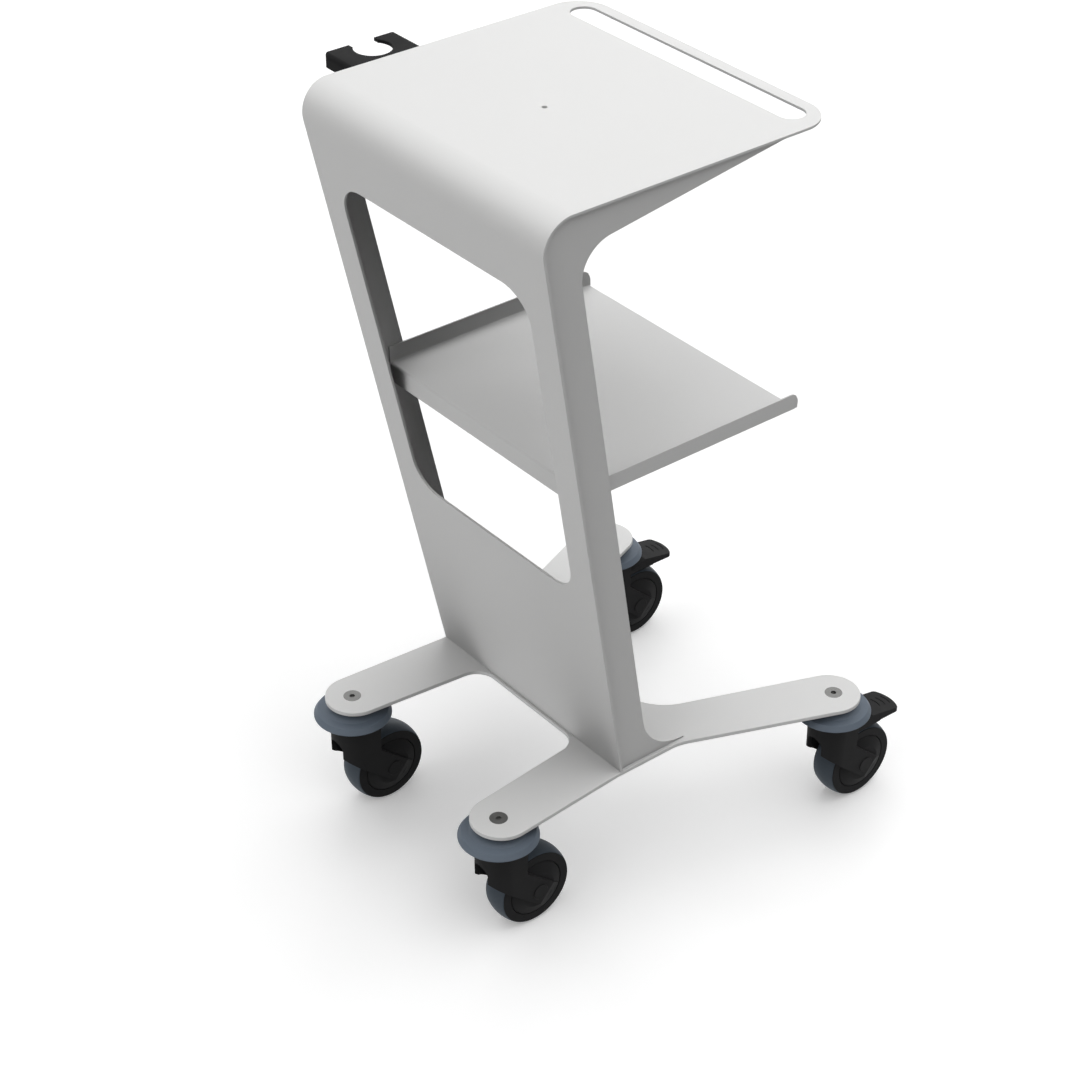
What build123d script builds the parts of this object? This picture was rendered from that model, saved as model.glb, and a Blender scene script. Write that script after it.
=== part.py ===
from build123d import *
import math
import os

os.makedirs("parts", exist_ok=True)

# Therapy trolley: a folded steel sheet makes the table top and the leaning back panel, two side webs
# and a foot plate carry it on a flat base plate with four arms, and each arm stands on a swivel caster.
# Millimetres. The origin is on the floor under the middle of the outline, +Z is up, +Y is towards
# the back panel, and +X is the side with the handpiece bracket.

# Casters: overall
caster_height = 169.8
wheel_base = 478.9
rear_track = 298.0
front_track = 444.4
caster_trail = 43.0
wheel_radius = 52.9
wheel_width = 36.0
bumper_radius = 49.3

# Base plate
base_thickness = 5.0
base_edge_round = 0.8
base_rear_overhang = 3.4
base_depth = 106.3
base_side_length = 96.7
rear_arm_inner_x = 95.4
front_arm_inner_x = 102.4
arm_end_radius = 38.0
arm_end_setback = 4.2
rear_arm_fillet = 27.0
front_arm_fillet = 68.0
side_arm_fillet = 60.0

# Table top and back panel, folded from one sheet
sheet = 3.0
table_height = 979.3
table_width = 426.0
table_reach = 411.8
table_corner_radius = 44.0
fold_radius = 36.0
column_foot_width = 351.0
column_setback = 167.1
column_lean = 11.53
opening_bottom = 449.1
opening_top = 874.4
opening_rail = 40.0
opening_radius = 40.0
hand_slot_width = 33.5
hand_slot_rim = 15.6
hand_slot_side_rim = 23.0
table_hole_radius = 3.3
table_hole_from_front = 231.8

# Side webs with their gussets under the table
web_inset = 4.7
web_depth = 47.0
web_corner_gap = 0.6
gusset_length = 342.3
gusset_angle = 8.7
gusset_tip = 2.0
gusset_fillet = 42.0
web_foot_fillet = 70.0
web_foot_edge = 2.0
web_toe_flat = 1.0

# Shelf tray
shelf_sheet = 2.0
shelf_height = 605.3
shelf_depth = 310.0
shelf_back_gap = 18.0
shelf_side_rim = 21.0
shelf_back_lip = 22.0
shelf_front_lip = 12.0
shelf_bend = 3.0
shelf_rim_round = 14.0

# Foot plate inside the column and its screws
foot_plate_thickness = 8.0
foot_plate_depth = 52.0
foot_plate_side_gap = 0.3
foot_screw_radius = 4.0
foot_screw_head_radius = 8.0
foot_screw_length = 11.5
foot_screw_socket = 5.0
foot_screw_rows = (-130.0, -45.0, 45.0, 130.0)
foot_screw_setback = 27.0

# Handpiece bracket under the table's +X edge
bracket_sheet = 4.0
bracket_reach = 57.0
bracket_front_from_corner = 175.0
bracket_length = 96.6
bracket_bend = 6.0
bracket_corner = 7.0
notch_radius = 22.8
notch_mouth = 35.0
notch_from_front = 44.0
notch_from_edge = 22.5
bracket_rear_flange = 16.0
bracket_web_flange = 24.0
bracket_flange_end_gap = 8.0
bracket_screw_radius = 2.5
bracket_screw_head_radius = 4.75
bracket_screw_head_height = 2.75
bracket_screw_socket = 3.0
bracket_screw_pitch = 55.0
bracket_screw_drop = 14.0
bracket_nut_width = 8.0
bracket_nut_height = 4.0

# Caster screws
caster_screw_radius = 5.0
caster_screw_head_radius = 11.15
caster_screw_length = 22.0
caster_screw_socket = 6.4
socket_depth = 3.2
fit_clearance = 0.05
head_clearance = 0.1

# Bumper disc
bumper_thickness = 21.0
bumper_rim = 1.0
bumper_top_radius = 45.0
bumper_chamfer_height = 7.0
bumper_dish_radius = 36.0
bumper_dish_height = 9.0
bumper_neck_radius = 24.0
bumper_neck_height = 16.0
bumper_collar_radius = 20.0

# Swivel stem, its bearing and its retaining ring
stem_collar_radius = 14.0
stem_radius = 7.0
stem_tail = 2.6
swivel_gap = 0.5
collar_gap = 0.3
bearing_radius = 16.0
bearing_height = 5.0
bearing_groove = 0.6
ring_radius = 10.0
ring_thickness = 1.2
ring_gap = 0.3

# Fork housing and legs
housing_radius = 29.5
housing_front = 22.0
housing_wall = 3.2
housing_roof = 8.0
boss_radius = 10.6
boss_height = 27.0
side_draft = 1.6
leg_half_width = 16.1
leg_angle = 41.5
leg_flat_end = 13.0
leg_end_radius = 33.0
arch_half_width = 12.5
arch_top = 116.3
pocket_clearance = 1.5

# Wheel guards, one on each leg
guard_edge = 1.6
guard_crown_radius = 24.0
guard_crown = 7.0
guard_running_gap = 1.8
hub_boss_radius = 8.0
hub_boss_gap = 0.3

# Wheel
tread_crown = 3.2
tread_depth = 6.7
tread_edge_round = 1.0
rim_thickness = 4.8
flange_width = 1.0
flange_drop = 0.7
rim_bore_gap = 1.0
wheel_web = 5.0
hub_radius = 17.0
hub_length = 28.0
wheel_bearing_radius = 13.0
wheel_bearing_width = 7.0
axle_radius = 5.0
axle_head_radius = 10.7
axle_head_height = 2.2
axle_seat_depth = 1.0
axle_head_chamfer = 0.6

# Brake pedal on the front casters
pedal_reach = 107.2
pedal_half_width = 22.0
pedal_yoke_half_width = 17.8
pedal_pivot_y = -15.5
pedal_pivot_z = 117.8
pedal_barrel_radius = 4.2
pedal_pin_radius = 2.0
pedal_pin_cover = 2.0
pedal_underside = 109.4
pedal_tip_thickness = 4.4
pedal_crest_y = -54.2
pedal_crest_z = 124.2
pedal_tip_z = 113.8
pedal_neck_y = -26.2
pedal_neck_z = 114.8
pedal_step_y = -68.2
pedal_step = 0.9
pedal_tip_bulge = 7.5
pedal_tip_corner = 6.0
pedal_wall = 3.0
groove_count = 3
groove_pitch = 9.2
groove_half_length = 8.0
groove_bow = 1.6
groove_width = 1.8
groove_depth = 0.9
groove_last_from_tip = 7.0
brake_pad_front = -54.0
brake_pad_rear = -37.0
brake_pad_half_width = 12.0
brake_pad_drop = 0.3

# Places that follow from the sizes above
overall_length = pedal_reach + wheel_base + bumper_radius
rear_swivel_y = overall_length / 2 - bumper_radius
front_swivel_y = rear_swivel_y - wheel_base
base_top = caster_height + base_thickness
table_under = table_height - sheet
lean_slope = math.tan(math.radians(column_lean))
lean_cos = math.cos(math.radians(column_lean))
panel_foot_y = rear_swivel_y - column_setback
panel_across = sheet / lean_cos
table_half = table_width / 2
foot_half = column_foot_width / 2
web_slope = (table_half - foot_half) / (table_under - base_top)
web_tilt = math.atan(web_slope)
web_across = sheet / math.cos(web_tilt)
far = 2 * table_height
cut_over = 1.0


def panel_outer_y(z):
    """The back panel's outer face at a height."""
    return panel_foot_y + lean_slope * (z - base_top)


def panel_inner_y(z):
    """The back panel's inner face at a height."""
    return panel_outer_y(z) - panel_across


def edge_x(z):
    """Half the width of the folded sheet at a height."""
    return foot_half + web_slope * (z - base_top)


def web_outer_x(z):
    """The outer face of a side web at a height."""
    return edge_x(z) - web_inset


def web_inner_x(z):
    """The inner face of a side web at a height."""
    return web_outer_x(z) - web_across


fold_y = panel_outer_y(table_height)
table_front_y = fold_y - table_reach


def outline(points):
    """A flat face with straight sides."""
    return make_face(Polyline(*points, close=True))


def rounded(face, corners):
    """Round the corners of a flat face: each entry is a point and a radius."""
    for point, radius in corners:
        corner = face.vertices().sort_by_distance(point)[0]
        face = fillet(corner, radius)
    return face


def side_profile(points, corners=()):
    """A face seen from the side: its points are (y, z)."""
    return Plane.YZ * rounded(outline(points), corners)


def across(face, half):
    """A side profile made solid, as wide to the left as to the right."""
    return extrude(face, half, both=True)


def turned(points):
    """A solid of revolution about the Z axis from (radius, z) points."""
    return revolve(Plane.XZ * outline(points), Axis.Z)


def turned_on_axle(points):
    """A solid of revolution about the X axis from (radius, x) points."""
    return Rot(0, 90, 0) * turned(points)


def both_sides(shape):
    """A solid and its mirror image across the middle of the caster."""
    return shape + mirror(shape, about=Plane.YZ)


def save(node, *solids):
    """Write one sub-part, which may be a group of like solids."""
    shape = solids[0] if len(solids) == 1 else Compound(children=list(solids))
    shape.label = node
    export_step(shape, "parts/" + node + ".step")


def countersunk_screw(radius, head_radius, length, socket):
    """A countersunk socket screw, its head's face at z = 0 and its point down."""
    cone = head_radius - radius
    body = turned([(0, 0), (head_radius, 0), (radius, -cone), (radius, -length), (0, -length)])
    hexagon = RegularPolygon(socket / 2, 6, major_radius=False)
    return body - extrude(hexagon, -socket_depth)


def countersink(radius, head_radius, depth):
    """The hole for a countersunk screw, with its mouth at z = 0."""
    cone = head_radius - radius
    return turned([(0, cut_over), (head_radius, cut_over), (head_radius, 0), (radius, -cone),
                   (radius, -depth), (0, -depth)])


# Base plate
def touch_point(start, centre, radius, side):
    """Where a line from a point touches a circle, on the left (1) or right (-1) of its way."""
    dx = centre[0] - start[0]
    dy = centre[1] - start[1]
    reach = math.hypot(dx, dy)
    turn = math.atan2(dy, dx) + side * math.asin(radius / reach)
    run = math.sqrt(reach ** 2 - radius ** 2)
    return (start[0] + run * math.cos(turn), start[1] + run * math.sin(turn))


def arm(swivel, root_outer, root_inner):
    """One tapered arm of the base plate with its round end."""
    middle = ((root_outer[0] + root_inner[0]) / 2, (root_outer[1] + root_inner[1]) / 2)
    run = math.hypot(swivel[0] - middle[0], swivel[1] - middle[1])
    back = arm_end_setback / run
    centre = (swivel[0] - back * (swivel[0] - middle[0]), swivel[1] - back * (swivel[1] - middle[1]))
    side = 1 if swivel[1] < middle[1] else -1
    outer = touch_point(root_outer, centre, arm_end_radius, side)
    inner = touch_point(root_inner, centre, arm_end_radius, -side)
    end = Pos(centre[0], centre[1]) * Circle(arm_end_radius)
    return outline([root_outer, outer, centre, inner, root_inner]) + end


base_rear_y = panel_foot_y + base_rear_overhang
base_front_y = base_rear_y - base_depth
arm_bend_y = base_rear_y - base_side_length
swivels = {
    "rear_left": (-rear_track / 2, rear_swivel_y),
    "rear_right": (rear_track / 2, rear_swivel_y),
    "front_left": (-front_track / 2, front_swivel_y),
    "front_right": (front_track / 2, front_swivel_y),
}


def base_plate():
    """The flat X-shaped base plate with a countersunk hole over each caster and four under the column."""
    rear = arm(swivels["rear_right"], (foot_half, base_rear_y), (rear_arm_inner_x, base_rear_y))
    front = arm(swivels["front_right"], (foot_half, arm_bend_y), (front_arm_inner_x, base_front_y))
    middle = outline([(-foot_half, base_front_y), (foot_half, base_front_y),
                      (foot_half, base_rear_y), (-foot_half, base_rear_y)])
    plan = middle + rear + front + mirror(rear, about=Plane.YZ) + mirror(front, about=Plane.YZ)
    corners = []
    for side in (-1, 1):
        corners.append(((side * foot_half, arm_bend_y), side_arm_fillet))
        corners.append(((side * rear_arm_inner_x, base_rear_y), rear_arm_fillet))
        corners.append(((side * front_arm_inner_x, base_front_y), front_arm_fillet))
    plan = rounded(plan, corners)
    plate = Pos(0, 0, caster_height) * extrude(plan, base_thickness)
    plate = fillet(plate.faces().sort_by(Axis.Z)[-1].outer_wire().edges(), base_edge_round)
    sink = countersink(caster_screw_radius + head_clearance, caster_screw_head_radius + head_clearance,
                       2 * base_thickness)
    for x, y in swivels.values():
        plate -= Pos(x, y, base_top) * sink
    foot_sink = Rot(180, 0, 0) * countersink(foot_screw_radius + head_clearance,
                                             foot_screw_head_radius + head_clearance,
                                             2 * base_thickness)
    for x in foot_screw_rows:
        plate -= Pos(x, foot_screw_y, caster_height) * foot_sink
    return plate


foot_plate_back = panel_inner_y(base_top)
foot_screw_y = foot_plate_back - foot_screw_setback


def column_foot_plate():
    """The tapped bar between the webs that the column's screws pull down on to the base."""
    half = web_inner_x(base_top) - foot_plate_side_gap
    plate = Pos(0, foot_plate_back - foot_plate_depth / 2, base_top) * Box(
        2 * half, foot_plate_depth, foot_plate_thickness, align=(Align.CENTER, Align.CENTER, Align.MIN))
    for x in foot_screw_rows:
        plate -= Pos(x, foot_screw_y, base_top) * Cylinder(
            foot_screw_radius + fit_clearance, 2 * foot_plate_thickness)
    return plate


def column_screws():
    """Four countersunk screws from under the base plate into the foot plate."""
    screw = Rot(180, 0, 0) * countersunk_screw(foot_screw_radius, foot_screw_head_radius,
                                               foot_screw_length, foot_screw_socket)
    return [Pos(x, foot_screw_y, caster_height) * screw for x in foot_screw_rows]


# Folded sheet
def top_and_back_sheet():
    """The table top, the round fold behind it and the tapered back panel with its large opening."""
    corner_inner = panel_outer_y(table_under) - panel_across
    profile = side_profile(
        [(table_front_y, table_height), (fold_y, table_height), (panel_foot_y, base_top),
         (panel_inner_y(base_top), base_top), (corner_inner, table_under), (table_front_y, table_under)],
        [((fold_y, table_height), fold_radius), ((corner_inner, table_under), fold_radius - sheet)])
    bent = across(profile, table_half)
    front_view = Plane.XZ * outline([
        (-foot_half, base_top), (foot_half, base_top), (table_half, table_under),
        (table_half, table_height), (-table_half, table_height), (-table_half, table_under)])
    bent &= extrude(front_view, far, both=True)
    plan = rounded(
        outline([(-table_half, table_front_y), (table_half, table_front_y),
                 (table_half, fold_y), (-table_half, fold_y)]),
        [((side * table_half, table_front_y), table_corner_radius) for side in (-1, 1)])
    bent &= extrude(plan, far)
    slot = SlotOverall(table_width - 2 * hand_slot_side_rim, hand_slot_width)
    slot_y = table_front_y + hand_slot_rim + hand_slot_width / 2
    bent -= Pos(0, slot_y, table_under - sheet) * extrude(slot, 3 * sheet)
    bent -= Pos(0, table_front_y + table_hole_from_front, table_height) * Cylinder(
        table_hole_radius, 3 * sheet)
    return bent - panel_opening()


def panel_opening():
    """The cutter for the back panel's opening, square to the leaning sheet."""
    normal = (0, lean_cos, -math.sin(math.radians(column_lean)))
    face = Plane(origin=(0, panel_foot_y, base_top), x_dir=(-1, 0, 0), z_dir=normal)
    low = (opening_bottom - base_top) / lean_cos
    high = (opening_top - base_top) / lean_cos
    low_half = edge_x(opening_bottom) - opening_rail
    high_half = edge_x(opening_top) - opening_rail
    corners = [(-low_half, low), (low_half, low), (high_half, high), (-high_half, high)]
    window = rounded(outline(corners), [(point, opening_radius) for point in corners])
    return extrude(face * window, 3 * sheet, both=True)


# Side webs
def side_web():
    """The web on the +X side: leaning strip, gusset under the table and flared foot."""
    inner_corner_y = panel_inner_y(table_under)
    tip_y = inner_corner_y - gusset_length
    rise = math.tan(math.radians(gusset_angle))
    tip_low = table_under - gusset_tip
    front_foot_z = base_top + web_foot_edge
    front_foot_y = panel_outer_y(front_foot_z) - web_depth
    # The gusset's lower edge meets the web's front edge.
    meet_z = (tip_low - rise * (front_foot_y - lean_slope * front_foot_z - tip_y)) / (1 + rise * lean_slope)
    meet_y = front_foot_y + lean_slope * (meet_z - front_foot_z)
    flare = web_foot_fillet / math.tan(math.radians(90 + column_lean) / 2)
    toe_y = front_foot_y - flare - web_toe_flat
    profile = side_profile(
        [(panel_inner_y(base_top), base_top), (inner_corner_y, table_under), (tip_y, table_under),
         (tip_y, tip_low), (meet_y, meet_z), (front_foot_y, front_foot_z), (toe_y, front_foot_z),
         (toe_y, base_top)],
        [((inner_corner_y, table_under), fold_radius - sheet + web_corner_gap),
         ((meet_y, meet_z), gusset_fillet), ((front_foot_y, front_foot_z), web_foot_fillet)])
    plate = extrude(profile, far)
    face = Plane(origin=(web_outer_x(base_top), 0, base_top), x_dir=(0, 1, 0),
                 z_dir=(math.cos(web_tilt), 0, -math.sin(web_tilt)))
    return plate & extrude(face * Rectangle(2 * far, 2 * far), -sheet)


def web_place(y, z):
    """The frame of a point on the outer face of the +X web, its z axis pointing outwards."""
    return Plane(origin=(web_outer_x(z), y, z), x_dir=(0, 1, 0),
                 z_dir=(math.cos(web_tilt), 0, -math.sin(web_tilt)))


# Shelf tray
def shelf_tray():
    """The tray: sides turned up between the webs, front and back edges turned down."""
    low = shelf_height - shelf_sheet
    rim = shelf_height + shelf_side_rim
    back = panel_inner_y(low) - shelf_back_gap
    front = back - shelf_depth
    low_x = web_inner_x(low)
    floor_x = web_inner_x(shelf_height) - shelf_sheet
    rim_x = web_inner_x(rim)
    section = outline([
        (-low_x, low), (low_x, low), (rim_x, rim), (rim_x - shelf_sheet, rim), (floor_x, shelf_height),
        (-floor_x, shelf_height), (shelf_sheet - rim_x, rim), (-rim_x, rim)])
    inner_bend = shelf_bend - shelf_sheet
    corners = [((side * low_x, low), shelf_bend) for side in (-1, 1)]
    corners += [((side * floor_x, shelf_height), inner_bend) for side in (-1, 1)]
    trough = Plane.XZ * rounded(section, corners)
    sides = Pos(0, back - shelf_bend, 0) * extrude(trough, shelf_depth - 2 * shelf_bend)
    rim_plate = across(side_profile(
        [(front, low), (back, low), (back, rim), (front, rim)],
        [((front, rim), shelf_rim_round)]), far)
    rims = Pos(0, back, 0) * extrude(trough, shelf_depth)
    rims &= rim_plate
    rims &= Pos(0, (front + back) / 2, rim) * Box(far, shelf_depth, 2 * (rim - shelf_height))
    lips = side_profile(
        [(front, shelf_height), (back, shelf_height), (back, low - shelf_back_lip),
         (back - shelf_sheet, low - shelf_back_lip), (back - shelf_sheet, low),
         (front + shelf_sheet, low), (front + shelf_sheet, low - shelf_front_lip),
         (front, low - shelf_front_lip)],
        [((front, shelf_height), shelf_bend), ((back, shelf_height), shelf_bend),
         ((front + shelf_sheet, low), inner_bend), ((back - shelf_sheet, low), inner_bend)])
    return sides + rims + across(lips, low_x - shelf_bend)


# Handpiece bracket
bracket_front_y = fold_y - bracket_front_from_corner
bracket_back_y = bracket_front_y + bracket_length
bracket_edge_x = table_half + bracket_reach
bracket_screw_z = table_under - bracket_screw_drop
bracket_screw_ys = [bracket_front_y + bracket_length / 2 + side * bracket_screw_pitch / 2
                    for side in (-1, 1)]


def handpiece_bracket():
    """The folded plate with a round notch for a handpiece, a rear flange and a flange on the web."""
    top = table_under
    under = top - bracket_sheet
    root_x = web_outer_x(top)
    flange_x = web_outer_x(under) + bracket_sheet
    inner_bend = bracket_bend - bracket_sheet
    rear = side_profile(
        [(bracket_front_y, top), (bracket_back_y, top), (bracket_back_y, top - bracket_rear_flange),
         (bracket_back_y - bracket_sheet, top - bracket_rear_flange),
         (bracket_back_y - bracket_sheet, under), (bracket_front_y, under)],
        [((bracket_back_y, top), bracket_bend), ((bracket_back_y - bracket_sheet, under), inner_bend)])
    plate = extrude(rear, bracket_edge_x)
    web_low = top - bracket_web_flange
    web_flange = Plane.XZ * rounded(
        outline([(root_x, top), (bracket_edge_x, top), (bracket_edge_x, under),
                 (flange_x, under), (web_outer_x(web_low) + bracket_sheet, web_low),
                 (web_outer_x(web_low), web_low)]),
        [((flange_x, under), inner_bend)])
    flange_back = bracket_back_y - bracket_flange_end_gap
    plate &= Pos(root_x, 0, 0) * Box(far, far, far, align=(Align.MIN, Align.CENTER, Align.CENTER))
    plate += Pos(0, flange_back, 0) * extrude(web_flange, flange_back - bracket_front_y)
    hook_y = bracket_front_y + notch_from_front
    hook_x = bracket_edge_x - notch_from_edge
    notch = Pos(hook_x, hook_y) * Circle(notch_radius)
    notch += Pos(hook_x + bracket_reach / 2, hook_y) * Rectangle(bracket_reach, notch_mouth)
    plate -= Pos(0, 0, top - 2 * bracket_sheet) * extrude(notch, 3 * bracket_sheet)
    for point in ((bracket_edge_x, bracket_back_y), (bracket_edge_x, bracket_front_y)):
        plate = rounded_post(plate, point, bracket_corner if point[1] == bracket_back_y else inner_bend)
    for y in bracket_screw_ys:
        plate -= web_place(y, bracket_screw_z) * Cylinder(bracket_screw_radius + fit_clearance, 4 * sheet)
    return plate


def rounded_post(plate, point, radius):
    """Cut the upright outer corner of the bracket to a round."""
    x, y = point
    toward_y = -1 if y == bracket_back_y else 1
    block = Pos(x - radius / 2, y + toward_y * radius / 2, table_under) * Box(radius, radius, far)
    post = Pos(x - radius, y + toward_y * radius, table_under) * Cylinder(radius, far)
    return plate - (block - post)


def bracket_screws():
    """Button head screws through the bracket's flange and the web."""
    length = bracket_sheet + sheet + bracket_nut_height
    shank = Pos(0, 0, bracket_sheet - length / 2) * Cylinder(bracket_screw_radius, length)
    head = Pos(0, 0, bracket_sheet + bracket_screw_head_height / 2) * Cylinder(
        bracket_screw_head_radius, bracket_screw_head_height)
    head = fillet(head.faces().sort_by(Axis.Z)[-1].edges(), bracket_screw_head_height / 2)
    hexagon = RegularPolygon(bracket_screw_socket / 2, 6, major_radius=False)
    socket = extrude(hexagon, -bracket_screw_radius)
    head -= Pos(0, 0, bracket_sheet + bracket_screw_head_height) * socket
    return [web_place(y, bracket_screw_z) * (shank + head) for y in bracket_screw_ys]


def bracket_nuts():
    """Hexagon nuts inside the web."""
    nut = extrude(RegularPolygon(bracket_nut_width / 2, 6, major_radius=False), -bracket_nut_height)
    nut -= Cylinder(bracket_screw_radius + fit_clearance, 3 * bracket_nut_height)
    return [web_place(y, bracket_screw_z) * Pos(0, 0, -sheet) * nut for y in bracket_screw_ys]


def pierced_web():
    """The +X web with the two holes for the bracket's screws."""
    web = side_web()
    for y in bracket_screw_ys:
        web -= web_place(y, bracket_screw_z) * Cylinder(bracket_screw_radius + fit_clearance, 4 * sheet)
    return web


# Caster parts, each at its own swivel axis with the wheel trailing towards -Y
bumper_low = caster_height - bumper_thickness
fork_top = bumper_low - swivel_gap
axle_place = Pos(0, -caster_trail, wheel_radius)
boss_low = fork_top - housing_roof - boss_height
half_wheel = wheel_width / 2
shoulder_radius = wheel_radius - tread_crown
tread_inner_radius = shoulder_radius - tread_depth
rim_bore = tread_inner_radius - rim_thickness
guard_radius = rim_bore - rim_bore_gap
leg_inner_x = half_wheel + pocket_clearance
guard_inner_x = half_wheel - guard_running_gap
draft_slope = math.tan(math.radians(side_draft))


def bumper_disc():
    """The soft round bumper between the arm and the fork."""
    return turned([
        (stem_collar_radius + fit_clearance, bumper_low), (bumper_radius, bumper_low),
        (bumper_radius, bumper_low + bumper_rim), (bumper_top_radius, bumper_low + bumper_chamfer_height),
        (bumper_dish_radius, bumper_low + bumper_dish_height),
        (bumper_neck_radius, bumper_low + bumper_neck_height), (bumper_collar_radius, caster_height),
        (stem_collar_radius + fit_clearance, caster_height)])


def swivel_stem():
    """The tapped collar that the arm's screw holds, with the pin that the fork turns on."""
    collar_low = fork_top + collar_gap
    tail = boss_low - ring_gap - ring_thickness - stem_tail
    stem = turned([(0, caster_height), (stem_collar_radius, caster_height),
                   (stem_collar_radius, collar_low), (stem_radius, collar_low), (stem_radius, tail),
                   (0, tail)])
    return stem - Pos(0, 0, base_top) * countersink(
        caster_screw_radius + fit_clearance, caster_screw_head_radius + head_clearance,
        caster_screw_length + fit_clearance)


def stem_ring():
    """The flat ring on the stem under the fork's boss."""
    top = boss_low - ring_gap
    return turned([(stem_radius, top), (ring_radius, top), (ring_radius, top - ring_thickness),
                   (stem_radius, top - ring_thickness)])


def swivel_bearing():
    """The closed ball bearing in the fork's roof, with a groove between its two races."""
    inner = stem_radius + fit_clearance
    low = fork_top - bearing_height
    middle = (inner + bearing_radius) / 2
    return turned([
        (inner, low), (bearing_radius, low), (bearing_radius, fork_top),
        (middle + bearing_groove, fork_top), (middle + bearing_groove, fork_top - bearing_groove),
        (middle - bearing_groove, fork_top - bearing_groove), (middle - bearing_groove, fork_top),
        (inner, fork_top)])


def housing_section(half, depth, forward):
    """The fork's plan section: half an ellipse behind and straight sides forward."""
    rear = EllipticalCenterArc((0, 0), half, depth, arc_size=180)
    sides = Polyline((-half, 0), (-half, -forward), (half, -forward), (half, 0))
    return make_face(rear + sides)


def leg_face_x(z):
    """The outer face of a leg at a height: the sides draw in downwards."""
    return housing_radius - draft_slope * (fork_top - z)


def leg_frame():
    """The side view's frame at the axle, its x axis running up along the leg."""
    return Pos(-caster_trail, wheel_radius) * Rot(0, 0, leg_angle)


def leg_edge_z(y, side):
    """The height of the leg's upper (1) or lower (-1) edge line at a distance from the swivel axis."""
    slope = math.tan(math.radians(leg_angle))
    lift = leg_half_width / math.cos(math.radians(leg_angle))
    return wheel_radius + slope * (y + caster_trail) + side * lift


def fork_outline():
    """The fork seen from the side: upright housing, slanting leg and its round end."""
    turn = math.radians(leg_angle)
    upper = (-caster_trail - leg_half_width * math.sin(turn), wheel_radius + leg_half_width * math.cos(turn))
    lower = (-caster_trail + leg_half_width * math.sin(turn), wheel_radius - leg_half_width * math.cos(turn))
    body = outline([
        (-housing_front, fork_top), (housing_radius, fork_top),
        (housing_radius, leg_edge_z(housing_radius, -1)), lower, upper,
        (-housing_front, leg_edge_z(-housing_front, 1))])
    end = Circle(leg_end_radius) & Rectangle(2 * leg_end_radius, 2 * leg_half_width)
    return body + leg_frame() * end


def leg_end_cutter():
    """The cutter that slopes the end of the +X leg down into the round guard."""
    turn = math.radians(leg_angle)
    along = (0, -math.cos(turn), -math.sin(turn))
    square = (0, -math.sin(turn), math.cos(turn))
    place = Plane(origin=(0, -caster_trail, wheel_radius), x_dir=along, z_dir=square)
    outside = housing_radius + cut_over
    beyond = leg_end_radius + cut_over
    wedge = outline([(leg_flat_end, leg_face_x(wheel_radius)), (leg_end_radius, leg_inner_x),
                     (beyond, leg_inner_x), (beyond, outside), (leg_flat_end, outside)])
    return extrude(place * wedge, leg_half_width + cut_over, both=True)


def fork(braked):
    """The moulded fork: drafted housing with two legs, round wheel guards and a boss for the stem."""
    low = wheel_radius - leg_end_radius
    low_half = leg_face_x(low)
    forward = caster_trail + leg_end_radius + leg_half_width
    envelope = loft([
        Pos(0, 0, low) * housing_section(low_half, housing_radius, forward),
        Pos(0, 0, fork_top) * housing_section(housing_radius, housing_radius, forward)], ruled=True)
    shell = envelope & extrude(Plane.YZ * fork_outline(), 2 * housing_radius, both=True)
    shell -= both_sides(leg_end_cutter())
    cavity_section = housing_section(leg_inner_x, housing_radius - housing_wall, forward)
    cavity_top = fork_top - housing_roof
    shell -= Pos(0, 0, low - cut_over) * extrude(cavity_section, cavity_top - low + cut_over)
    shell -= axle_place * Rot(0, 90, 0) * Cylinder(wheel_radius + pocket_clearance, 2 * leg_inner_x)
    arch = Pos(0, arch_top - arch_half_width) * Circle(arch_half_width)
    arch += Pos(0, (arch_top - arch_half_width) / 2) * Rectangle(2 * arch_half_width,
                                                               arch_top - arch_half_width)
    shell -= extrude(Plane.XZ * arch, -2 * housing_radius)
    shell += both_sides(guard())
    boss = Pos(0, 0, boss_low) * Cylinder(boss_radius, fork_top - boss_low,
                                          align=(Align.CENTER, Align.CENTER, Align.MIN))
    shell += boss
    shell -= Cylinder(stem_radius + fit_clearance, 4 * caster_height)
    shell -= Pos(0, 0, fork_top) * Cylinder(bearing_radius, 2 * bearing_height)
    shell -= axle_place * Rot(0, 90, 0) * Cylinder(axle_radius + fit_clearance, 4 * half_wheel)
    seat = Pos(axle_seat_x(), 0, 0) * Rot(0, 90, 0) * Cylinder(
        axle_head_radius + head_clearance, half_wheel, align=(Align.CENTER, Align.CENTER, Align.MIN))
    shell -= axle_place * both_sides(seat)
    if braked:
        shell -= pedal_pin_bore()
    return shell


def axle_seat_x():
    """The flat bottom of the round seats for the axle's head and nut."""
    return leg_face_x(wheel_radius) - axle_seat_depth


def guard():
    """The round guard inside the wheel's rim on the +X leg, with the boss that locates the wheel."""
    crown_x = guard_inner_x + guard_crown
    disc = turned_on_axle([
        (0, guard_inner_x), (guard_radius, guard_inner_x), (guard_radius, guard_inner_x + guard_edge),
        (guard_crown_radius, crown_x), (0, crown_x)])
    boss_face = hub_length / 2 + hub_boss_gap
    boss = turned_on_axle([(0, boss_face), (hub_boss_radius, boss_face),
                           (hub_boss_radius, guard_inner_x), (0, guard_inner_x)])
    return axle_place * (disc + boss)


def axle():
    """The axle with its wide flat head on the -X leg."""
    seat = axle_seat_x()
    head = seat + axle_head_height
    edge = axle_head_radius - axle_head_chamfer
    return axle_place * turned_on_axle([
        (0, -head), (edge, -head), (axle_head_radius, axle_head_chamfer - head),
        (axle_head_radius, -seat), (axle_radius, -seat), (axle_radius, seat), (0, seat)])


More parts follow.
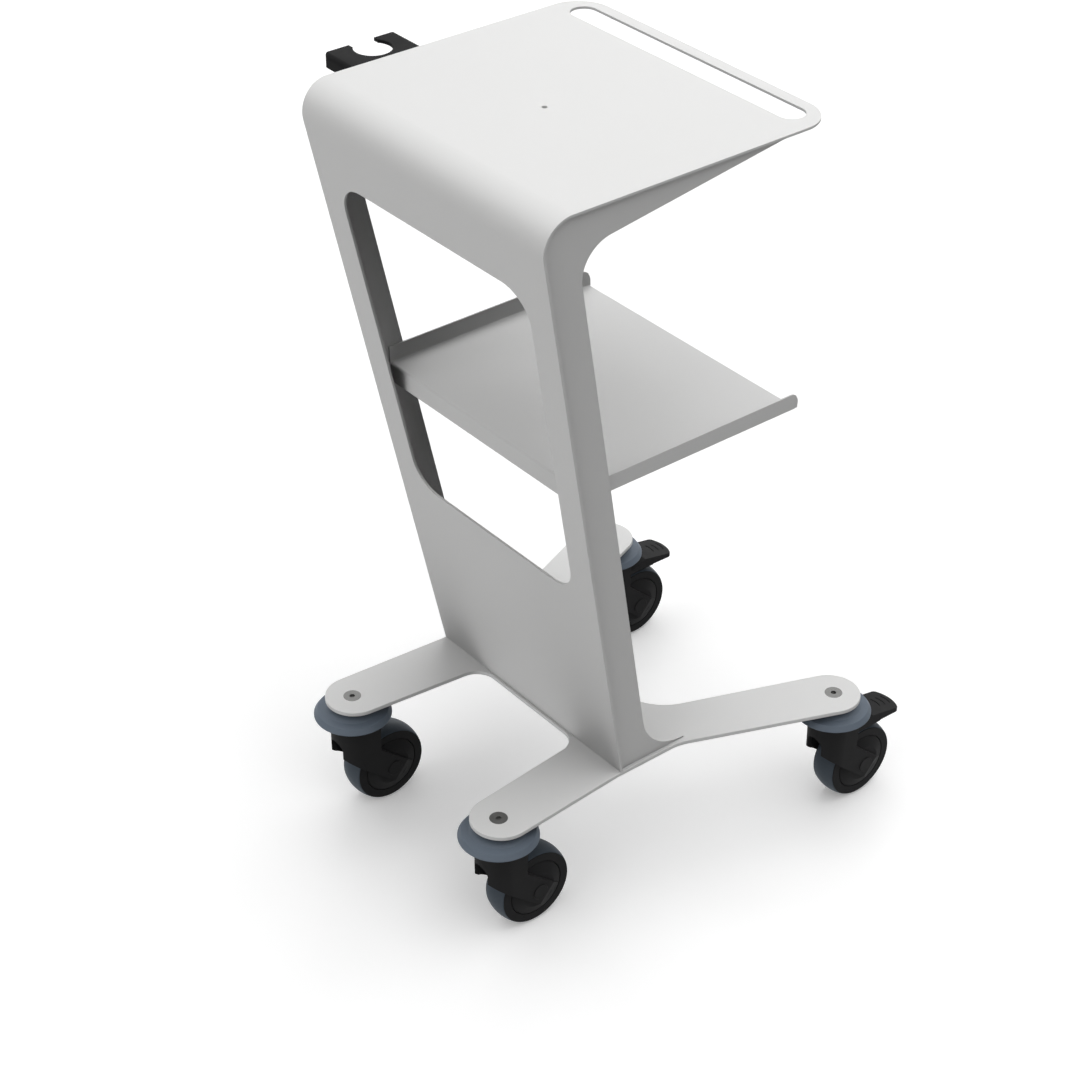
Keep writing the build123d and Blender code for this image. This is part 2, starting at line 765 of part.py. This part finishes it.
def axle_nut():
    """The round nut that closes the axle on the +X leg."""
    seat = axle_seat_x()
    head = seat + axle_head_height
    edge = axle_head_radius - axle_head_chamfer
    return axle_place * turned_on_axle([
        (0, seat), (axle_head_radius, seat), (axle_head_radius, head - axle_head_chamfer),
        (edge, head), (0, head)])


def wheel_core():
    """The wheel's hub, web and rim, with thin side flanges that cover the tread's edges."""
    tread_half = half_wheel - flange_width
    flange = shoulder_radius - flange_drop
    hub = hub_length / 2
    web = wheel_web / 2
    right = [(wheel_bearing_radius, hub), (hub_radius, hub), (hub_radius, web), (rim_bore, web),
             (rim_bore, half_wheel), (flange, half_wheel), (flange, tread_half),
             (tread_inner_radius, tread_half)]
    left = [(radius, -x) for radius, x in reversed(right)]
    return axle_place * turned_on_axle(right + left)


def tyre():
    """The soft crowned tread between the wheel's side flanges."""
    half = half_wheel - flange_width
    crown = ThreePointArc((shoulder_radius, -half), (wheel_radius, 0), (shoulder_radius, half))
    sides = Polyline((shoulder_radius, half), (tread_inner_radius, half),
                     (tread_inner_radius, -half), (shoulder_radius, -half))
    section = rounded(make_face(crown + sides),
                      [((shoulder_radius, side * half), tread_edge_round) for side in (-1, 1)])
    return axle_place * Rot(0, 90, 0) * revolve(Plane.XZ * section, Axis.Z)


def wheel_bearings():
    """A ball bearing in each end of the hub, its outer face flush with the hub."""
    face = hub_length / 2
    ring = turned_on_axle([
        (axle_radius + fit_clearance, face - wheel_bearing_width),
        (wheel_bearing_radius, face - wheel_bearing_width), (wheel_bearing_radius, face),
        (axle_radius + fit_clearance, face)])
    return [axle_place * ring, axle_place * mirror(ring, about=Plane.YZ)]


# Brake pedal
def pedal_top(y):
    """The height of the pedal's tread between its crest and its tip."""
    share = (pedal_crest_y - y) / (pedal_crest_y + pedal_reach)
    return pedal_crest_z + share * (pedal_tip_z - pedal_crest_z)


def pedal_pin_bore():
    """The bore for the pedal's pin: right through on the +X side, blind on the other."""
    blind = leg_face_x(pedal_pivot_z) - pedal_pin_cover
    length = blind + 2 * housing_radius
    return Pos(length / 2 - blind, pedal_pivot_y, pedal_pivot_z) * Rot(0, 90, 0) * Cylinder(
        pedal_pin_radius + fit_clearance, length)


def pedal_pin():
    """The pin across the fork that the pedal turns on."""
    wall = leg_face_x(pedal_pivot_z)
    left = wall - pedal_pin_cover - fit_clearance
    right = wall - fit_clearance
    return Pos((right - left) / 2, pedal_pivot_y, pedal_pivot_z) * Rot(0, 90, 0) * Cylinder(
        pedal_pin_radius, left + right)


def brake_pedal():
    """The foot pedal: grooved tread over the wheel, hollow below, with a barrel on the pin."""
    tip_low = pedal_tip_z - pedal_tip_thickness
    step_low = pedal_underside + pedal_step
    yoke_low = pedal_pivot_z - pedal_barrel_radius
    solid = side_profile([
        (-pedal_reach, pedal_tip_z), (pedal_crest_y, pedal_crest_z), (pedal_neck_y, pedal_neck_z),
        (pedal_pivot_y, pedal_pivot_z + pedal_barrel_radius), (pedal_pivot_y, yoke_low),
        (pedal_neck_y, pedal_underside), (pedal_step_y, pedal_underside),
        (pedal_step_y - pedal_step, step_low), (-pedal_reach, tip_low)])
    body = across(solid, pedal_half_width)
    shoulder = pedal_tip_bulge - pedal_reach
    sides_end = -housing_front - pocket_clearance
    plan_points = Polyline((-pedal_half_width, shoulder), (-pedal_half_width, sides_end),
                           (-pedal_yoke_half_width, sides_end), (-pedal_yoke_half_width, 0),
                           (pedal_yoke_half_width, 0), (pedal_yoke_half_width, sides_end),
                           (pedal_half_width, sides_end), (pedal_half_width, shoulder))
    tip = ThreePointArc((pedal_half_width, shoulder), (0, -pedal_reach), (-pedal_half_width, shoulder))
    plan = rounded(make_face(plan_points + tip),
                   [((side * pedal_half_width, shoulder), pedal_tip_corner) for side in (-1, 1)])
    body &= extrude(plan, caster_height)
    barrel = Pos(0, pedal_pivot_y, pedal_pivot_z) * Rot(0, 90, 0) * Cylinder(
        pedal_barrel_radius, 2 * pedal_yoke_half_width)
    body += barrel
    hollow_back = pedal_neck_y - pedal_wall
    hollow_front = pedal_wall - pedal_reach + pedal_tip_bulge
    hollow = side_profile([
        (hollow_front, pedal_top(hollow_front) - pedal_wall), (pedal_crest_y, pedal_crest_z - pedal_wall),
        (hollow_back, pedal_neck_z - pedal_wall), (hollow_back, pedal_underside - cut_over),
        (hollow_front, pedal_underside - cut_over)])
    body -= across(hollow, pedal_half_width - pedal_wall)
    body -= Pos(0, pedal_pivot_y, pedal_pivot_z) * Rot(0, 90, 0) * Cylinder(
        pedal_pin_radius + fit_clearance, 4 * pedal_half_width)
    return body - pedal_grooves()


def pedal_grooves():
    """Cutters for the curved grips across the tread, square to its slope."""
    slope = math.atan2(pedal_crest_z - pedal_tip_z, pedal_crest_y + pedal_reach)
    cutters = []
    for index in range(groove_count):
        y = groove_last_from_tip - pedal_reach + index * groove_pitch
        bow = ThreePointArc((-groove_half_length, groove_bow), (0, 0), (groove_half_length, groove_bow))
        slot = SlotArc(bow, groove_width)
        place = Pos(0, y, pedal_top(y) - groove_depth) * Rot(math.degrees(slope), 0, 0)
        cutters.append(place * extrude(slot, 2 * pedal_wall))
    return cutters


def brake_pad():
    """The pad under the pedal that presses on the tread."""
    middle = (brake_pad_front + brake_pad_rear) / 2
    low = pedal_underside - brake_pad_drop
    roof_front = pedal_crest_z - pedal_wall
    slope = (pedal_crest_z - pedal_neck_z) / (pedal_neck_y - pedal_wall - pedal_crest_y)
    roof_rear = roof_front - slope * (brake_pad_rear - pedal_crest_y)
    roof_near = roof_front - slope * (brake_pad_front - pedal_crest_y)
    return across(side_profile([
        (brake_pad_front, low), (brake_pad_rear, low), (brake_pad_rear, roof_rear),
        (brake_pad_front, roof_near)]), brake_pad_half_width)


# Everything in its place
save("base_plate", base_plate())
save("top_and_back_sheet", top_and_back_sheet())
save("side_web_left", mirror(side_web(), about=Plane.YZ))
save("side_web_right", pierced_web())
save("shelf_tray", shelf_tray())
save("column_foot_plate", column_foot_plate())
save("column_screws", *column_screws())
save("handpiece_bracket", handpiece_bracket())
save("bracket_screws", *bracket_screws())
save("bracket_nuts", *bracket_nuts())

caster_screw = countersunk_screw(caster_screw_radius, caster_screw_head_radius, caster_screw_length,
                                 caster_screw_socket)
save("caster_screws", *[Pos(x, y, base_top) * caster_screw for x, y in swivels.values()])
save("stem_rings", *[Pos(x, y, 0) * stem_ring() for x, y in swivels.values()])

for corner, (x, y) in swivels.items():
    braked = corner.startswith("front")
    place = Pos(x, y, 0)
    pieces = {
        "bumper_disc": [bumper_disc()],
        "swivel_stem": [swivel_stem()],
        "swivel_bearing": [swivel_bearing()],
        "fork": [fork(braked)],
        "axle": [axle()],
        "axle_nut": [axle_nut()],
        "wheel_core": [wheel_core()],
        "tyre": [tyre()],
        "wheel_bearings": wheel_bearings(),
    }
    if braked:
        pieces["brake_pedal"] = [brake_pedal()]
        pieces["pedal_pin"] = [pedal_pin()]
        pieces["brake_pad"] = [brake_pad()]
    for name, solids in pieces.items():
        save(corner + "_" + name, *[place * solid for solid in solids])
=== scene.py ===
"""Looks of the therapy trolley: powder-coated sheet metal, moulded casters, plain white studio.

Units are metres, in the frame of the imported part: +Z up, the back panel towards +Y.
"""

import math

import bmesh
import bpy
from mathutils import Matrix, Vector


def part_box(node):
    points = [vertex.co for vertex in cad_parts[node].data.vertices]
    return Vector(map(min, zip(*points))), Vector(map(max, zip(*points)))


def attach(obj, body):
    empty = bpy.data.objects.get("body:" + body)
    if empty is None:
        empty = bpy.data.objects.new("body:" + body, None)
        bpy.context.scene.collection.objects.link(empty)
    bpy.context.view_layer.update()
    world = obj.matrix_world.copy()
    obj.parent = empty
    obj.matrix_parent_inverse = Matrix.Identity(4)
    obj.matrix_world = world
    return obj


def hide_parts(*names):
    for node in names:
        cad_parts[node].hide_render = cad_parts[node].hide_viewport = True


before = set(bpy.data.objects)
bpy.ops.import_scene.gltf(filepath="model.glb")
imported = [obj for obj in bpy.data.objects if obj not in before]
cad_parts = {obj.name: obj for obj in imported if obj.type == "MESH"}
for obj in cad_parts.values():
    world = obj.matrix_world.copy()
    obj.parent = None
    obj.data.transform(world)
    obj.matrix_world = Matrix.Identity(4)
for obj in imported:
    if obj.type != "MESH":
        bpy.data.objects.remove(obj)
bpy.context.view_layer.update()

CORNERS = ("front_left", "front_right", "rear_left", "rear_right")
BRAKED_CORNERS = ("front_left", "front_right")

# Camera, as solved from the photograph's own perspective
EYE = Vector((-1.9303, 1.6544, 2.1266))
LOOK = Vector((0.63958533, -0.51946147, -0.56664838))
LOOK_RIGHT = Vector((-0.62726093, -0.77878656, 0.0059344))
LENS = 83.66
SENSOR = 36.0

# Studio. The light comes straight from soft lamps all round, as in the photograph, where nothing
# is lit by its neighbours. Each lamp is (azimuth, height, width, strength): azimuth from +X
# towards +Y, all three angles in degrees. Those below the horizon shine through the floor.
SOFT_LAMPS = (
    (0, 90, 60, 0.28),
    (0, 60, 50, 0.387),
    (60, 60, 50, 0.33),
    (180, 60, 50, 0.635),
    (240, 60, 50, 0.573),
    (300, 60, 50, 0.636),
    (90, 32, 50, 0.70),
    (130, 30, 40, 0.06),
    (180, 32, 40, 0.27),
    (0, 10, 20, 0.198),
    (315, 10, 20, 0.348),
    (90, -12, 30, 0.34),
    (90, -38, 50, 0.60),
    (180, -38, 44, 0.33),
    (0, -90, 60, 1.041),
)
FLOOR_SIZE = 60.0
FLOOR_TONE = (1.2, 1.2, 1.2, 1.0)
FLOOR_GLOW = 0.22  # share of plain white in what the eye sees of the floor, which lifts the shadows
PLAIN_WHITE = (1.0, 1.0, 1.0, 1.0)

# Grain and edges of the finishes
GRAIN_DETAIL = 3.0
GRAIN_RUGGEDNESS = 0.55
DRIFT_DETAIL = 4.0
DRIFT_RUGGEDNESS = 0.6
NOISE_MIDDLE = 0.5
GLOSS_PER_TONE = 1.5
EDGE_SAMPLES = 6
GRAIN_DEPTH = 0.0001

# Shelf tray sheet
TRAY_CORNER = 0.0125
TRAY_FOOT_CORNER = 0.0016
TRAY_SHEET = 0.002
TRAY_RIM = 0.021
TRAY_LIP_DEPTH = 0.008
TRAY_OVERCUT = 2 * TRAY_SHEET
CORNER_STEPS = 14
WELD_GAP = 1e-6
SHARP_ANGLE = math.radians(28)
FLAT_FACE_WEIGHT = 50


# Shader helpers


def socket(sockets, name):
    """The first socket of that name that is in use."""
    return next(s for s in sockets if s.name == name and s.enabled)


def add_node(tree, kind, settings=None, **values):
    """Adds a node with its settings; values, such as Base_Color, go to its unlinked inputs."""
    node = tree.nodes.new(kind)
    for name, value in (settings or {}).items():
        setattr(node, name, value)
    for name, value in values.items():
        socket(node.inputs, name.replace("_", " ")).default_value = value
    return node


def connect(tree, source, output, target, entry):
    """Links one node's output to another's input, both by name."""
    tree.links.new(socket(source.outputs, output), socket(target.inputs, entry))


def math_node(tree, operation, *sources):
    """A Math node fed by (node, output) pairs or numbers."""
    node = add_node(tree, "ShaderNodeMath", {"operation": operation})
    for entry, source in zip(node.inputs, sources):
        if isinstance(source, tuple):
            tree.links.new(socket(source[0].outputs, source[1]), entry)
        else:
            entry.default_value = source
    return node


def new_group(name, entries, exits):
    """An empty shader group: entries are (label, default), exits (label, socket type)."""
    group = bpy.data.node_groups.new(name, "ShaderNodeTree")
    for label, default in entries:
        entry = group.interface.new_socket(label, in_out="INPUT", socket_type="NodeSocketFloat")
        entry.default_value = default
    for label, kind in exits:
        group.interface.new_socket(label, in_out="OUTPUT", socket_type=kind)
    return group, group.nodes.new("NodeGroupInput"), group.nodes.new("NodeGroupOutput")


def build_grain_group():
    """Fine surface grain on object coordinates, with a slow drift of tone and gloss."""
    group, start, end = new_group(
        "surface_grain",
        [("Grain Scale", 900.0), ("Drift Scale", 9.0), ("Drift", 0.1), ("Roughness", 0.5)],
        [
            ("Height", "NodeSocketFloat"),
            ("Tone", "NodeSocketFloat"),
            ("Gloss", "NodeSocketFloat"),
        ],
    )
    where = add_node(group, "ShaderNodeTexCoord")
    grain = add_node(
        group, "ShaderNodeTexNoise", Detail=GRAIN_DETAIL, Roughness=GRAIN_RUGGEDNESS
    )
    drift = add_node(
        group, "ShaderNodeTexNoise", Detail=DRIFT_DETAIL, Roughness=DRIFT_RUGGEDNESS
    )
    for texture, scale in ((grain, "Grain Scale"), (drift, "Drift Scale")):
        connect(group, where, "Object", texture, "Vector")
        connect(group, start, scale, texture, "Scale")
    connect(group, grain, "Fac", end, "Height")

    centred = math_node(group, "SUBTRACT", (drift, "Fac"), NOISE_MIDDLE)
    swing = math_node(group, "MULTIPLY", (centred, "Value"), (start, "Drift"))
    tone = math_node(group, "ADD", (swing, "Value"), 1.0)
    connect(group, tone, "Value", end, "Tone")
    spread = math_node(group, "MULTIPLY", (swing, "Value"), GLOSS_PER_TONE)
    gloss = math_node(group, "ADD", (spread, "Value"), (start, "Roughness"))
    connect(group, gloss, "Value", end, "Gloss")
    return group


def build_edge_group():
    """A mask of the edges, from how far a rounded normal turns away from the true one."""
    group, start, end = new_group(
        "edge_round",
        [("Radius", 0.001), ("Contrast", 4.0)],
        [("Mask", "NodeSocketFloat"), ("Normal", "NodeSocketVector")],
    )
    surface = add_node(group, "ShaderNodeNewGeometry")
    rounded = add_node(group, "ShaderNodeBevel", {"samples": EDGE_SAMPLES})
    connect(group, start, "Radius", rounded, "Radius")
    connect(group, rounded, "Normal", end, "Normal")

    alike = add_node(group, "ShaderNodeVectorMath", {"operation": "DOT_PRODUCT"})
    group.links.new(rounded.outputs["Normal"], alike.inputs[0])
    group.links.new(surface.outputs["Normal"], alike.inputs[1])
    apart = math_node(group, "SUBTRACT", 1.0, (alike, "Value"))
    mask = math_node(group, "MULTIPLY", (apart, "Value"), (start, "Contrast"))
    mask.use_clamp = True
    connect(group, mask, "Value", end, "Mask")
    return group


SURFACE_GRAIN = build_grain_group()
EDGE_ROUND = build_edge_group()


def finish_material(
    name, colour, roughness, grain, drift, edge, metallic=0.0, shine=0.3, bump=0.1
):
    """A finish: colour with a slow drift, grain, and rounded edges, made slightly paler by a
    painted highlight.

    grain is the grain's scale per metre, drift (scale per metre, strength), edge (radius of its
    rounding, how much paler its painted highlight makes it), shine the specular level and bump the
    grain's strength.
    """
    drift_scale, drift_strength = drift
    edge_radius, edge_highlight_lift = edge
    material = bpy.data.materials.new(name)
    material.use_nodes = True
    tree = material.node_tree
    tree.nodes.clear()
    out = add_node(tree, "ShaderNodeOutputMaterial")
    shader = add_node(
        tree, "ShaderNodeBsdfPrincipled", Metallic=metallic, Specular_IOR_Level=shine
    )
    connect(tree, shader, "BSDF", out, "Surface")

    surface = add_node(
        tree,
        "ShaderNodeGroup",
        {"node_tree": SURFACE_GRAIN},
        Grain_Scale=grain,
        Drift_Scale=drift_scale,
        Drift=drift_strength,
        Roughness=roughness,
    )
    connect(tree, surface, "Gloss", shader, "Roughness")
    edges = add_node(tree, "ShaderNodeGroup", {"node_tree": EDGE_ROUND}, Radius=edge_radius)

    base = add_node(tree, "ShaderNodeHueSaturation", Color=(*colour, 1.0))
    connect(tree, surface, "Tone", base, "Value")
    # Painted highlight: the edge mask makes the edges paler than the finish's own colour
    paler = [min(1.0, channel + edge_highlight_lift) for channel in colour]
    painted_edge_highlight = add_node(tree, "ShaderNodeMix", {"data_type": "RGBA"}, B=(*paler, 1.0))
    connect(tree, edges, "Mask", painted_edge_highlight, "Factor")
    connect(tree, base, "Color", painted_edge_highlight, "A")
    connect(tree, painted_edge_highlight, "Result", shader, "Base Color")

    relief = add_node(tree, "ShaderNodeBump", Strength=bump, Distance=GRAIN_DEPTH)
    connect(tree, surface, "Height", relief, "Height")
    connect(tree, edges, "Normal", relief, "Normal")
    connect(tree, relief, "Normal", shader, "Normal")
    return material


# Finishes, named as the record's slots; each edge is (rounding radius, how much paler the painted
# edge highlight makes it)
FINISH_VALUES = {
    "white_powder_coat": dict(
        colour=(0.755, 0.755, 0.749), roughness=0.52,
        grain=1100.0, drift=(6.0, 0.02), edge=(0.0006, 0.02), bump=0.12,
    ),
    "black_powder_coat": dict(
        colour=(0.009, 0.009, 0.0093), roughness=0.6,
        grain=1400.0, drift=(20.0, 0.2), edge=(0.0004, 0.002), shine=0.05, bump=0.2,
    ),
    "bumper_rubber": dict(
        colour=(0.116, 0.144, 0.180), roughness=0.55,
        grain=900.0, drift=(30.0, 0.08), edge=(0.0004, 0.03), bump=0.15,
    ),
    "tread_rubber": dict(
        colour=(0.050, 0.064, 0.080), roughness=0.55,
        grain=900.0, drift=(30.0, 0.12), edge=(0.0005, 0.01), shine=0.15, bump=0.15,
    ),
    "black_nylon": dict(
        colour=(0.020, 0.020, 0.0205), roughness=0.6,
        grain=1500.0, drift=(40.0, 0.15), edge=(0.0006, 0.004), shine=0.05, bump=0.25,
    ),
    "wheel_nylon": dict(
        colour=(0.016, 0.016, 0.0165), roughness=0.6,
        grain=1500.0, drift=(40.0, 0.15), edge=(0.0006, 0.004), shine=0.06, bump=0.25,
    ),
    "black_steel": dict(
        colour=(0.007, 0.007, 0.0073), roughness=0.5,
        grain=1800.0, drift=(60.0, 0.2), edge=(0.0004, 0.01), shine=0.08,
    ),
    "pad_rubber": dict(
        colour=(0.02, 0.02, 0.021), roughness=0.7,
        grain=1200.0, drift=(60.0, 0.2), edge=(0.0005, 0.01), bump=0.3,
    ),
    "zinc_steel": dict(
        colour=(0.15, 0.15, 0.146), roughness=0.42,
        grain=1800.0, drift=(80.0, 0.2), edge=(0.0003, 0.05), metallic=1.0,
    ),
}
FINISHES = {slot: finish_material(slot, **values) for slot, values in FINISH_VALUES.items()}


# Slots of the CAD nodes: whole names, then those that each caster, or each braked one, has
NODE_SLOTS = {
    "base_plate": "white_powder_coat",
    "top_and_back_sheet": "white_powder_coat",
    "side_web_left": "white_powder_coat",
    "side_web_right": "white_powder_coat",
    "shelf_tray": "white_powder_coat",
    "column_foot_plate": "white_powder_coat",
    "handpiece_bracket": "black_powder_coat",
    "caster_screws": "zinc_steel",
    "column_screws": "zinc_steel",
    "bracket_screws": "zinc_steel",
    "bracket_nuts": "zinc_steel",
    "stem_rings": "zinc_steel",
}
CASTER_SLOTS = {
    "bumper_disc": "bumper_rubber",
    "swivel_stem": "zinc_steel",
    "swivel_bearing": "black_nylon",
    "fork": "black_nylon",
    "axle": "black_steel",
    "axle_nut": "black_steel",
    "wheel_core": "wheel_nylon",
    "tyre": "tread_rubber",
    "wheel_bearings": "zinc_steel",
}
BRAKE_SLOTS = {
    "brake_pedal": "black_nylon",
    "pedal_pin": "black_steel",
    "brake_pad": "pad_rubber",
}


def dress_nodes(slots, prefix=""):
    """Puts each slot's finish on its CAD node."""
    for node, slot in slots.items():
        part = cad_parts[prefix + node]
        part.data.materials.clear()
        part.data.materials.append(FINISHES[slot])


dress_nodes(NODE_SLOTS)
for corner in CORNERS:
    dress_nodes(CASTER_SLOTS, corner + "_")
for corner in BRAKED_CORNERS:
    dress_nodes(BRAKE_SLOTS, corner + "_")


# Shelf tray sheet, in the place of the CAD tray


def link_object(name, data):
    """A new object in the scene, at the origin."""
    thing = bpy.data.objects.new(name, data)
    bpy.context.scene.collection.objects.link(thing)
    return thing


def welded_copy(node):
    """A closed copy of a CAD node's mesh."""
    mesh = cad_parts[node].data.copy()
    shape = bmesh.new()
    shape.from_mesh(mesh)
    bmesh.ops.remove_doubles(shape, verts=shape.verts, dist=WELD_GAP)
    shape.to_mesh(mesh)
    shape.free()
    return mesh


def add_prism(shape, outline, half):
    """Adds a prism to a bmesh: its (y, z) outline at -half on X, extruded to +half."""
    start = shape.faces.new([shape.verts.new((-half, y, z)) for y, z in outline])
    grown = bmesh.ops.extrude_face_region(shape, geom=[start], use_keep_orig=True)["geom"]
    far_end = [item for item in grown if isinstance(item, bmesh.types.BMVert)]
    bmesh.ops.translate(shape, verts=far_end, vec=(2 * half, 0.0, 0.0))
    bmesh.ops.recalc_face_normals(shape, faces=shape.faces)


def corner_arc(y, z, rise, radius):
    """(y, z) points round a front corner; rise is 1 for an upper corner, -1 for a lower one."""
    turns = [math.pi / 2 * step / CORNER_STEPS for step in range(CORNER_STEPS + 1)]
    return [
        (y + radius * (1 - math.cos(turn)), z - rise * radius * (1 - math.sin(turn)))
        for turn in turns
    ]


def tray_cutters(low, high):
    """What the sheet leaves out of the CAD tray: sharp rim corners, bend edge and front lip."""
    front = low[1]
    rim_top = high[2]
    under = rim_top - TRAY_RIM - TRAY_SHEET
    ahead = front - TRAY_OVERCUT
    above = rim_top + TRAY_OVERCUT
    below = low[2] - TRAY_OVERCUT
    lip_back = front + TRAY_LIP_DEPTH
    half = high[0] + TRAY_OVERCUT
    cutters = bmesh.new()
    rim = corner_arc(front, rim_top, 1, TRAY_CORNER)
    add_prism(
        cutters,
        rim + [(front + TRAY_CORNER, above), (ahead, above), (ahead, rim_top - TRAY_CORNER)],
        half,
    )
    foot = corner_arc(front, under, -1, TRAY_FOOT_CORNER)
    add_prism(
        cutters,
        foot + [(lip_back, under), (lip_back, below), (ahead, below), (ahead, foot[0][1])],
        half,
    )
    return cutters


def applied(mesh, kind, **settings):
    """A new mesh with a modifier applied, in the place of the one given."""
    blank = link_object("blank", mesh)
    change = blank.modifiers.new("change", kind)
    for name, value in settings.items():
        setattr(change, name, value)
    changed = blank.evaluated_get(bpy.context.evaluated_depsgraph_get())
    done = bpy.data.meshes.new_from_object(changed)
    bpy.data.objects.remove(blank)
    bpy.data.meshes.remove(mesh)
    return done


def cut_away(mesh, cutters):
    """The mesh less a bmesh's solids, with its sharp edges marked and flat faces kept flat."""
    cutter_mesh = bpy.data.meshes.new("cutter")
    cutters.to_mesh(cutter_mesh)
    cutters.free()
    cutter = link_object("cutter", cutter_mesh)
    done = applied(mesh, "BOOLEAN", operation="DIFFERENCE", solver="EXACT", object=cutter)
    bpy.data.objects.remove(cutter)
    bpy.data.meshes.remove(cutter_mesh)
    shape = bmesh.new()
    shape.from_mesh(done)
    bmesh.ops.remove_doubles(shape, verts=shape.verts, dist=WELD_GAP)
    bmesh.ops.dissolve_degenerate(shape, edges=shape.edges, dist=WELD_GAP)
    for edge in shape.edges:
        edge.smooth = len(edge.link_faces) == 2 and edge.calc_face_angle(math.pi) < SHARP_ANGLE
    for face in shape.faces:
        face.smooth = True
    shape.to_mesh(done)
    shape.free()
    return applied(
        done, "WEIGHTED_NORMAL", mode="FACE_AREA", weight=FLAT_FACE_WEIGHT, keep_sharp=True
    )


def add_shelf_tray_sheet():
    """The shelf tray with a plain front edge and round-ended rims, as the photograph shows."""
    mesh = cut_away(welded_copy("shelf_tray"), tray_cutters(*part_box("shelf_tray")))
    sheet = link_object("shelf_tray_sheet", mesh)
    mesh.materials.clear()
    mesh.materials.append(FINISHES["white_powder_coat"])
    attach(sheet, "root")
    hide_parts("shelf_tray")


add_shelf_tray_sheet()


# Studio


def white_to_eye(tree):
    """1 for what the camera, a reflection or a transmission sees, 0 for light that bounces."""
    path = add_node(tree, "ShaderNodeLightPath")
    seen = math_node(tree, "MAXIMUM", (path, "Is Camera Ray"), (path, "Is Transmission Ray"))
    return math_node(tree, "MAXIMUM", (seen, "Value"), (path, "Is Glossy Ray"))


def floor_material():
    """Matt white, mixed for the eye alone with a little plain white."""
    material = bpy.data.materials.new("studio_floor")
    material.use_nodes = True
    material.cycles.emission_sampling = "NONE"
    tree = material.node_tree
    tree.nodes.clear()
    out = add_node(tree, "ShaderNodeOutputMaterial")
    matt = add_node(tree, "ShaderNodeBsdfDiffuse", Color=FLOOR_TONE)
    glow = add_node(tree, "ShaderNodeEmission", Color=PLAIN_WHITE, Strength=1.0)
    share = math_node(tree, "MULTIPLY", (white_to_eye(tree), "Value"), FLOOR_GLOW)
    both = add_node(tree, "ShaderNodeMixShader")
    connect(tree, share, "Value", both, "Fac")
    tree.links.new(matt.outputs["BSDF"], both.inputs[1])
    tree.links.new(glow.outputs["Emission"], both.inputs[2])
    connect(tree, both, "Shader", out, "Surface")
    return material


def lay_floor():
    """A wide floor that takes shadows and lets the low lamps through."""
    mesh = bpy.data.meshes.new("studio_floor")
    sheet = bmesh.new()
    bmesh.ops.create_grid(sheet, x_segments=1, y_segments=1, size=FLOOR_SIZE / 2)
    sheet.to_mesh(mesh)
    sheet.free()
    mesh.materials.append(floor_material())
    floor = link_object("studio_floor", mesh)
    floor.visible_shadow = False


def white_sky():
    """A world that the eye and reflections see as plain white, and that lights nothing."""
    world = bpy.data.worlds.new("studio_sky")
    bpy.context.scene.world = world
    world.use_nodes = True
    tree = world.node_tree
    tree.nodes.clear()
    out = add_node(tree, "ShaderNodeOutputWorld")
    sky = add_node(tree, "ShaderNodeBackground", Color=PLAIN_WHITE)
    connect(tree, sky, "Background", out, "Surface")
    connect(tree, white_to_eye(tree), "Value", sky, "Strength")


def add_soft_lamp(azimuth, height, width, strength):
    """A far, wide lamp that shines from that direction."""
    lamp = bpy.data.lights.new("soft_lamp", "SUN")
    lamp.angle = math.radians(width)
    lamp.energy = strength
    across = math.cos(math.radians(height))
    source = Vector((
        across * math.cos(math.radians(azimuth)),
        across * math.sin(math.radians(azimuth)),
        math.sin(math.radians(height)),
    ))
    holder = link_object("soft_lamp", lamp)
    holder.rotation_mode = "QUATERNION"
    holder.rotation_quaternion = (-source).to_track_quat("-Z", "Y")


def set_camera():
    """The photograph's own view."""
    camera = bpy.data.cameras.new("photo_view")
    camera.lens = LENS
    camera.sensor_width = SENSOR
    camera.sensor_fit = "HORIZONTAL"
    camera.clip_end = 2 * FLOOR_SIZE
    holder = link_object("photo_view", camera)
    turn = Matrix((LOOK_RIGHT, LOOK_RIGHT.cross(LOOK), -LOOK)).transposed()
    holder.matrix_world = Matrix.Translation(EYE) @ turn.to_4x4()
    bpy.context.scene.camera = holder


lay_floor()
white_sky()
for lamp in SOFT_LAMPS:
    add_soft_lamp(*lamp)
set_camera()
bpy.context.scene.cycles.diffuse_bounces = 0
bpy.context.scene.view_settings.view_transform = "Standard"
